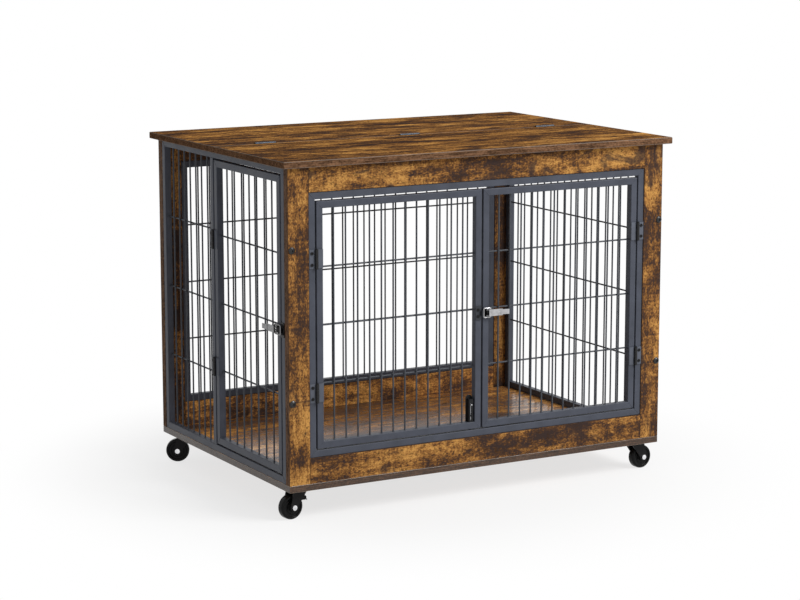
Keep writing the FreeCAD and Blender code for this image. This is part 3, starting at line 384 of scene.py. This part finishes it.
def powder_coat(name, colour, grain, roughness, gloss):
    """Baked paint with the fine peel of powder coat and faint handling marks."""
    material, tree, surface = new_material(name)
    source = add(tree, "TexCoord").outputs["Object"]
    peel = noise(tree, source, (1.0 / grain,) * 3, detail=3.0, rough=0.55)
    cloud = noise(tree, source, (26.0, 26.0, 26.0), detail=4.0, rough=0.6)
    shades = [(0.3, scaled(colour, 0.84)), (0.7, scaled(colour, 1.16))]
    tree.links.new(ramp(tree, cloud, shades), surface.inputs["Base Color"])
    tree.links.new(between(tree, cloud, 0.3, 0.7, roughness - 0.05, roughness + 0.07),
                   surface.inputs["Roughness"])
    tree.links.new(bump(tree, peel, strength=0.22, distance=0.00025), surface.inputs["Normal"])
    surface.inputs["Specular IOR Level"].default_value = gloss
    return material


def paint_barrel_shade(material, barrels, radius, colour):
    """Paints black what lies within a radius of upright hinge axes given as (x from the middle, y),
    as painted shade on the hinge barrels.
    """
    tree = material.node_tree
    surface = tree.nodes["Principled BSDF"]
    place = add(tree, "SeparateXYZ", {"Vector": add(tree, "TexCoord").outputs["Object"]})
    outward = math_node(tree, "ABSOLUTE", place.outputs["X"], 0.0)
    paint = surface.inputs["Base Color"].links[0].from_socket
    for x, y in barrels:
        aside = math_node(tree, "SUBTRACT", outward, x)
        along = math_node(tree, "SUBTRACT", place.outputs["Y"], y)
        flat = add(tree, "CombineXYZ", {"X": aside, "Y": along})
        reach = add(tree, "VectorMath", {0: flat.outputs["Vector"]}, operation="LENGTH")
        inside = between(tree, reach.outputs["Value"], radius * 1.05, radius * 0.95)
        paint = mix(tree, inside, paint, rgba(colour))
    tree.links.new(paint, surface.inputs["Base Color"])


def brushed_steel(name, colour, roughness, brush_axis):
    """Plated steel with fine brush lines along one axis and a few dull spots."""
    material, tree, surface = new_material(name)
    source = add(tree, "TexCoord").outputs["Object"]
    across, along = 2600.0, 90.0
    scale = [along if axis == brush_axis else across for axis in "XYZ"]
    lines = noise(tree, source, scale, detail=3.0, rough=0.6)
    spots = noise(tree, source, (170.0, 170.0, 170.0), detail=4.0, rough=0.6)
    shades = [(0.3, scaled(colour, 0.7)), (0.6, colour)]
    tree.links.new(ramp(tree, spots, shades), surface.inputs["Base Color"])
    tree.links.new(between(tree, lines, 0.3, 0.7, roughness - 0.06, roughness + 0.12),
                   surface.inputs["Roughness"])
    tree.links.new(bump(tree, lines, strength=0.12, distance=0.00008), surface.inputs["Normal"])
    surface.inputs["Metallic"].default_value = 1.0
    return material


def moulded(name, colour, roughness):
    """Glossy moulded plastic with faint flow marks and scuffs."""
    material, tree, surface = new_material(name)
    source = add(tree, "TexCoord").outputs["Object"]
    flow = noise(tree, source, (90.0, 90.0, 90.0), detail=5.0, rough=0.6)
    scuff = noise(tree, source, (900.0, 900.0, 300.0), detail=4.0, rough=0.65)
    shades = [(0.55, colour), (0.78, scaled(colour, 2.0))]
    tree.links.new(ramp(tree, scuff, shades), surface.inputs["Base Color"])
    tree.links.new(between(tree, flow, 0.3, 0.7, roughness - 0.05, roughness + 0.12),
                   surface.inputs["Roughness"])
    tree.links.new(bump(tree, scuff, strength=0.08, distance=0.0001), surface.inputs["Normal"])
    surface.inputs["Specular IOR Level"].default_value = MOULDED_GLOSS
    return material


def new_piece(name, points, faces, material, body):
    """A finished mesh object that rides on a body and takes its finish from a slot. Points that
    coincide become one, and the faces look outward."""
    mesh = bpy.data.meshes.new(name)
    mesh.from_pydata(points.tolist(), [], faces.tolist())
    shell = bmesh.new()
    shell.from_mesh(mesh)
    bmesh.ops.remove_doubles(shell, verts=shell.verts, dist=1e-7)
    bmesh.ops.recalc_face_normals(shell, faces=shell.faces)
    if shell.calc_volume(signed=True) < 0.0:
        bmesh.ops.reverse_faces(shell, faces=shell.faces)
    shell.to_mesh(mesh)
    shell.free()
    mesh.shade_smooth()
    piece = bpy.data.objects.new(name, mesh)
    bpy.context.scene.collection.objects.link(piece)
    mesh.materials.append(material)
    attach(piece, body)
    return piece


def grid_faces(rows, columns, close_rows):
    """Quads of a grid that closes on itself along its columns and, if asked, along its rows."""
    row = np.arange(rows if close_rows else rows - 1)[:, None]
    column = np.arange(columns)[None, :]
    next_row = (row + 1) % rows
    next_column = (column + 1) % columns
    corners = [row * columns + column, row * columns + next_column,
               next_row * columns + next_column, next_row * columns + column]
    return np.stack([corner.ravel() for corner in corners], axis=1)


def rounded_outline(corners, radii, steps):
    """A closed outline with rounded corners: each is the curve
    (1-t)^2 a + 2t(1-t) corner + t^2 b between points a and b set back along both sides."""
    corners = np.asarray(corners, float)
    before = np.roll(corners, 1, axis=0) - corners
    after = np.roll(corners, -1, axis=0) - corners
    radii = np.asarray(radii, float)[:, None]
    first = corners + before / np.linalg.norm(before, axis=1, keepdims=True) * radii
    last = corners + after / np.linalg.norm(after, axis=1, keepdims=True) * radii
    t = np.linspace(0.0, 1.0, steps)[None, :, None]
    arcs = ((1 - t) ** 2 * first[:, None] + 2 * t * (1 - t) * corners[:, None]
            + t ** 2 * last[:, None])
    return arcs.reshape(-1, 2)


def turned_surface(outline, centre, axis, steps):
    """A closed outline (radius, height) turned round a level axis: point = centre + height * axis
    + radius * (cos a * u + sin a * v), with u and v square to the axis."""
    axis = np.array(Vector(axis).normalized())
    up = np.array((0.0, 0.0, 1.0))
    side = np.cross(axis, up)
    angle = np.linspace(0.0, 2.0 * math.pi, steps, endpoint=False)[None, :, None]
    radius = outline[:, 0][:, None, None]
    height = outline[:, 1][:, None, None]
    points = (np.array(centre) + height * axis
              + radius * (np.cos(angle) * side + np.sin(angle) * up))
    return points.reshape(-1, 3), grid_faces(len(outline), steps, close_rows=True)


def mitre_beads(corner_box, width, rows=12, columns=8):
    """Weld beads on both faces of the four mitres of a tube rectangle. Point (s, a) of a bead is
    outer + s (inner - outer) + e(s) w (cos a / 2 across + 0.22 sin a out), with s along the mitre
    from 0 to 1, a round the bead, and e = sqrt(1 - (2s - 1)^8) (0.9 + 0.1 cos 40 s)."""
    low, high = (np.array(corner) for corner in corner_box)
    thin = int(np.argmin(high - low))
    first, second = [axis for axis in range(3) if axis != thin]
    side = (high - low)[thin]
    s = np.linspace(0.0, 1.0, rows)[:, None, None]
    a = np.linspace(0.0, 2.0 * math.pi, columns, endpoint=False)[None, :, None]
    swell = np.sqrt(1 - (2 * s - 1) ** 8) * (0.9 + 0.1 * np.cos(40 * s)) * width
    beads, faces = [], []
    for face, out in ((low[thin], -1.0), (high[thin], 1.0)):
        for one, turn in ((low[first], 1.0), (high[first], -1.0)):
            for two, rise in ((low[second], 1.0), (high[second], -1.0)):
                outer, along, across, normal = np.zeros((4, 3))
                outer[[thin, first, second]] = face, one, two
                along[[first, second]] = turn * side, rise * side
                across[[first, second]] = turn * math.sqrt(0.5), -rise * math.sqrt(0.5)
                normal[thin] = out
                grid = outer + s * along + swell * (
                    0.5 * np.cos(a) * across + 0.22 * np.sin(a) * normal)
                faces.append(grid_faces(rows, columns, False) + len(beads) * rows * columns)
                beads.append(grid.reshape(-1, 3))
    return np.concatenate(beads), np.concatenate(faces)


def upright_ends(name):
    """Foot points of a grille's upright wires on the tubes, and the way each wire leaves them."""
    mesh = frame["nodes"][name].data
    points = np.empty(3 * len(mesh.vertices))
    mesh.vertices.foreach_get("co", points)
    points = points.reshape(-1, 3)
    along = int(np.argmax(np.ptp(points[:, :2], axis=0)))
    feet = []
    for level, way in ((points[:, 2].min(), 1.0), (points[:, 2].max(), -1.0)):
        rim = points[np.abs(points[:, 2] - level) < FOOT_DEPTH]
        rim = rim[np.argsort(rim[:, along])]
        gaps = np.flatnonzero(np.diff(rim[:, along]) > WIRE_GAP) + 1
        middles = [(wire.min(axis=0) + wire.max(axis=0)) / 2 for wire in np.split(rim, gaps)]
        feet += [(middle, way) for middle in middles]
    return feet


def weld_collars(feet, wire, foot, tall, columns=8):
    """Fillets of weld where wires meet a tube. Point (r, h, a) of a collar is
    foot point + r (1 + 0.08 sin 3a) (cos a, sin a, 0) + h (0, 0, way), where (r, h) runs round a
    closed outline: out along the tube, up a hollow curve to the wire, and down inside the wire."""
    rise = np.array([0.0, 0.3, 0.65, 1.0])
    curve = np.stack([wire + (foot - wire) * (1 - rise) ** 2, tall * rise], axis=1)
    inside = np.array([(0.8 * wire, tall), (0.8 * wire, 0.0)])
    outline = np.concatenate([curve, inside])[:, :, None]
    a = np.linspace(0.0, 2.0 * math.pi, columns, endpoint=False)[None, :]
    radius = outline[:, 0] * (1 + 0.08 * np.sin(3 * a))
    collars, faces = [], []
    for middle, way in feet:
        grid = np.stack([radius * np.cos(a), radius * np.sin(a),
                         way * outline[:, 1] + 0.0 * a], axis=-1)
        faces.append(grid_faces(len(outline), columns, True) + len(collars) * radius.size)
        collars.append((middle + grid).reshape(-1, 3))
    return np.concatenate(collars), np.concatenate(faces)


def joint_named(name):
    """The joint of the frame with this name."""
    return next(joint for joint in frame["joints"] if joint["name"] == name)


class PETCAGE_OT_boards(bpy.types.Operator):
    """Lays the rustic laminate on the boards"""

    bl_idname = "petcage.boards"
    bl_label = "Finish Boards"

    def execute(self, context):
        settings = context.scene.pet_cage_boards
        for board, laid in BOARDS.items():
            dress(board, laminate(f"laminate_{board}", settings, *laid))
        return {"FINISHED"}


class PETCAGE_OT_steel(bpy.types.Operator):
    """Paints the tube frames and the wire grilles"""

    bl_idname = "petcage.steel"
    bl_label = "Finish Tubes and Wires"

    def execute(self, context):
        settings = context.scene.pet_cage_steel
        tube = powder_coat("tube_powder_coat", settings.slate, settings.peel,
                           roughness=0.42, gloss=0.22)
        wire = powder_coat("wire_powder_coat", settings.wire, settings.peel,
                           roughness=0.4, gloss=0.22)
        for name, body in GRILLES.items():
            dress(name, wire)
            points, faces = weld_collars(upright_ends(name), COLLAR_INSIDE, settings.collar,
                                         COLLAR_TALL)
            new_piece(f"{name}_welds", points, faces, wire, body)
        for name, body in TUBE_FRAMES.items():
            dress(name, tube)
            points, faces = mitre_beads(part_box(name), settings.bead)
            new_piece(f"{name}_seams", points, faces, tube, body)
        return {"FINISHED"}


class PETCAGE_OT_hardware(bpy.types.Operator):
    """Finishes hinges, screws, bolts and latches"""

    bl_idname = "petcage.hardware"
    bl_label = "Finish Hardware"

    def execute(self, context):
        settings = context.scene.pet_cage_steel
        # The hinge leaves' paint is a lighter copy of the tube paint, a painted sheen.
        leaf = powder_coat("hinge_coat_painted_sheen_and_shade", settings.leaf, settings.peel,
                           roughness=0.38, gloss=0.3)
        black = powder_coat("black_oxide_and_painted_shade", settings.black, settings.peel * 0.6,
                            roughness=0.34, gloss=0.2)
        # Black on the hinge barrels: painted shade.
        paint_barrel_shade(leaf, HINGE_BARRELS, BARREL_REACH, settings.black)
        for name in HINGE_LEAVES:
            dress(name, leaf)
        dress("front_latch_keeper", powder_coat("keeper_paint", settings.keeper, settings.peel,
                                                roughness=0.3, gloss=0.25))
        for name in BLACK_HARDWARE:
            dress(name, black)
        lid_hinge = brushed_steel("lid_hinge_steel", settings.lid_hinge, roughness=0.38,
                                  brush_axis="X")
        for name in LID_HINGES:
            dress(name, lid_hinge)
        for name, (axis, share) in PLATED_HARDWARE.items():
            dress(name, brushed_steel(f"plated_{name}", scaled(settings.bright, share),
                                      roughness=0.27, brush_axis=axis))
        return {"FINISHED"}


class PETCAGE_OT_casters(bpy.types.Operator):
    """Turns the caster wheels and finishes their brackets"""

    bl_idname = "petcage.casters"
    bl_label = "Build Casters"

    def execute(self, context):
        settings = context.scene.pet_cage_casters
        # A lighter copy of the bright steel for the axles and caster screws: painted highlight.
        steel = scaled(context.scene.pet_cage_steel.bright, AXLE_HIGHLIGHT_SHARE)
        bracket = powder_coat("caster_bracket_paint", settings.bracket, grain=0.0008,
                              roughness=0.34, gloss=0.12)
        wheel = moulded("caster_wheel_plastic", settings.rubber, roughness=0.2)
        pedal = moulded("brake_pedal_plastic", settings.rubber, roughness=0.38)
        axle = brushed_steel("axle_steel_painted_highlight", steel, roughness=0.16, brush_axis="Z")
        dress("caster_plates", bracket)
        dress("caster_screws", axle)
        dress("front_left_brake_pedal", pedal)
        outline = self.wheel_outline(settings.radius, settings.width / 2)
        for corner in CORNERS:
            dress(f"{corner}_fork", bracket)
            dress(f"{corner}_axle", axle)
            roll = joint_named(f"{corner}_roll")
            points, faces = turned_surface(outline, roll["pos_m"], roll["axis"], settings.steps)
            piece = new_piece(f"{corner}_caster_wheel", points, faces, wheel,
                              f"{corner}_roller")
            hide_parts(f"{corner}_wheel")
        return {"FINISHED"}

    @staticmethod
    def wheel_outline(radius, half):
        """Half-section of a wheel: bore, raised hub, sunk web with a bead, rounded rim and a
        tread with two shallow lines."""
        mm = 0.001
        bore, hub, web, rim = 3.05 * mm, 7.5 * mm, 5.5 * mm, 16.5 * mm
        bead_inner, bead_outer, bead_slope, bead_tall = 11.4 * mm, 13.2 * mm, 0.4 * mm, 0.7 * mm
        line_from, line_middle, line_to, line_deep = 4.4 * mm, 4.1 * mm, 3.8 * mm, 0.55 * mm
        face = half - 1.0 * mm
        right = [(bore, half), (hub, half), (hub + 0.6 * mm, web), (bead_inner, web),
                 (bead_inner + bead_slope, web + bead_tall),
                 (bead_outer - bead_slope, web + bead_tall), (bead_outer, web), (rim, web),
                 (rim + 0.5 * mm, face), (radius - 0.2 * mm, face),
                 (radius - 0.02 * mm, line_from), (radius - line_deep, line_middle),
                 (radius, line_to)]
        # How far each corner is set back, in millimetres.
        rounding = [0.2, 0.8, 0.8, 0.25, 0.25, 0.25, 0.25, 0.8, 1.0, 3.2, 0.15, 0.15, 0.15]
        left = [(r, -y) for r, y in reversed(right)]
        corners = np.array(right + left)
        radii = np.array(rounding + rounding[::-1]) * mm
        return rounded_outline(corners, radii, steps=6)


class PETCAGE_OT_stage(bpy.types.Operator):
    """Sets the floor, the light and the camera"""

    bl_idname = "petcage.stage"
    bl_label = "Set Stage"

    def execute(self, context):
        settings = context.scene.pet_cage_stage
        scene = context.scene
        scene.view_settings.view_transform = "Standard"
        self.lay_floor(scene, settings)
        self.light_sky(scene, settings)
        self.hang_light(scene, settings.key)
        camera = bpy.data.objects.new("camera", bpy.data.cameras.new("camera"))
        scene.collection.objects.link(camera)
        camera.location = settings.eye
        camera.rotation_euler = (math.pi / 2 - settings.tilt, 0.0, -settings.turn)
        camera.data.lens = settings.lens
        camera.data.sensor_width = 36.0
        camera.data.clip_end = 60.0
        scene.camera = camera
        return {"FINISHED"}

    @staticmethod
    def lay_floor(scene, settings):
        """A wide square at height 0 that fades into the white round it."""
        side = (-FLOOR_HALF, FLOOR_HALF)
        mesh = bpy.data.meshes.new("floor")
        mesh.from_pydata([(x, y, 0.0) for y in side for x in side], [], [(0, 1, 3, 2)])
        floor = bpy.data.objects.new("floor", mesh)
        scene.collection.objects.link(floor)
        material, tree, surface = new_material("pale_floor")
        mesh.materials.append(material)
        surface.inputs["Base Color"].default_value = rgba(settings.floor)
        surface.inputs["Roughness"].default_value = 0.9
        surface.inputs["Specular IOR Level"].default_value = 0.1
        place = add(tree, "TexCoord").outputs["Object"]
        reach = add(tree, "VectorMath", {0: place}, operation="LENGTH").outputs["Value"]
        seen = background_rays(tree)
        fade = between(tree, reach, SHADOW_FROM, SHADOW_TO, SHADOW_WHITE, 1.0)
        away = math_node(tree, "MULTIPLY", fade, seen)
        white = add(tree, "Emission", {"Color": (1.0, 1.0, 1.0, 1.0), "Strength": 1.0})
        blend = add(tree, "MixShader", {"Fac": away, 1: surface.outputs["BSDF"],
                                        2: white.outputs["Emission"]})
        output = next(node for node in tree.nodes if node.type == "OUTPUT_MATERIAL")
        tree.links.new(blend.outputs["Shader"], output.inputs["Surface"])

    @staticmethod
    def light_sky(scene, settings):
        """White where the background shows, and a softer even light on the surfaces."""
        world = bpy.data.worlds.new("studio")
        scene.world = world
        world.use_nodes = True
        tree = world.node_tree
        seen = background_rays(tree)
        back = tree.nodes["Background"]
        back.inputs["Color"].default_value = (1.0, 1.0, 1.0, 1.0)
        tree.links.new(between(tree, seen, 0.0, 1.0, settings.fill, 1.0),
                       back.inputs["Strength"])

    @staticmethod
    def hang_light(scene, power):
        """A soft square light that looks at the cage."""
        data = bpy.data.lights.new("key_light", "AREA")
        data.energy = power
        data.size = KEY_SIZE
        light = bpy.data.objects.new("key_light", data)
        scene.collection.objects.link(light)
        light.location = KEY_PLACE
        aim = Vector(KEY_TARGET) - Vector(KEY_PLACE)
        light.rotation_euler = aim.to_track_quat("-Z", "Y").to_euler()


class PETCAGE_PT_sidebar(bpy.types.Panel):
    """Lists the steps in order"""

    bl_idname = "PETCAGE_PT_sidebar"
    bl_label = "Pet Cage"
    bl_space_type = "VIEW_3D"
    bl_region_type = "UI"
    bl_category = "Pet Cage"

    def draw(self, context):
        for step in STEPS:
            self.layout.operator(step.bl_idname)


SETTINGS = {
    "pet_cage_boards": PetCageBoardSettings,
    "pet_cage_steel": PetCageSteelSettings,
    "pet_cage_casters": PetCageCasterSettings,
    "pet_cage_stage": PetCageStageSettings,
}
STEPS = (PETCAGE_OT_boards, PETCAGE_OT_steel, PETCAGE_OT_hardware, PETCAGE_OT_casters,
         PETCAGE_OT_stage)
CLASSES = (*SETTINGS.values(), *STEPS, PETCAGE_PT_sidebar)


def register():
    """Adds the settings, the steps and the panel."""
    for cls in CLASSES:
        bpy.utils.register_class(cls)
    for name, group in SETTINGS.items():
        setattr(bpy.types.Scene, name, bpy.props.PointerProperty(type=group))


def unregister():
    """Takes them away again."""
    for name in SETTINGS:
        delattr(bpy.types.Scene, name)
    for cls in reversed(CLASSES):
        bpy.utils.unregister_class(cls)


def main():
    """Runs the steps in order."""
    register()
    bpy.ops.petcage.boards()
    bpy.ops.petcage.steel()
    bpy.ops.petcage.hardware()
    bpy.ops.petcage.casters()
    bpy.ops.petcage.stage()


if __name__ == "__main__":
    main()
